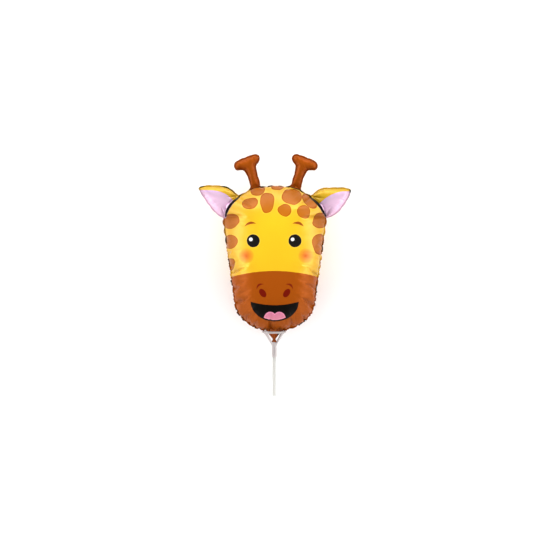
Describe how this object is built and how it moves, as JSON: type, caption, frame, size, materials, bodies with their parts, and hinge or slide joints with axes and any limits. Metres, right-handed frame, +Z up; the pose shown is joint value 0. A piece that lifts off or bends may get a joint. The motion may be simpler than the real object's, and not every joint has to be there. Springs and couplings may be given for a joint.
{
  "type": "giraffe foil balloon",
  "caption": "Air-filled foil balloon shaped as a giraffe's head with ears and horns, held in a clear cup on a short stick, lying on its back.",
  "frame": {"origin": "middle of the small flat spot on the back of the head, which the balloon rests on", "axes": "+X across the face, +Y from the chin and stick towards the horns, +Z up out of the face"},
  "size_m": [0.2648, 0.4232, 0.1242],
  "materials": {
    "printed_foil": "satin printed metallised film",
    "cup_plastic": "milky moulded plastic",
    "stick_plastic": "extruded white plastic"
  },
  "bodies": {
    "root": {"foil_balloon": "printed_foil", "cup": "cup_plastic", "stick": "stick_plastic"}
  },
  "joints": []
}
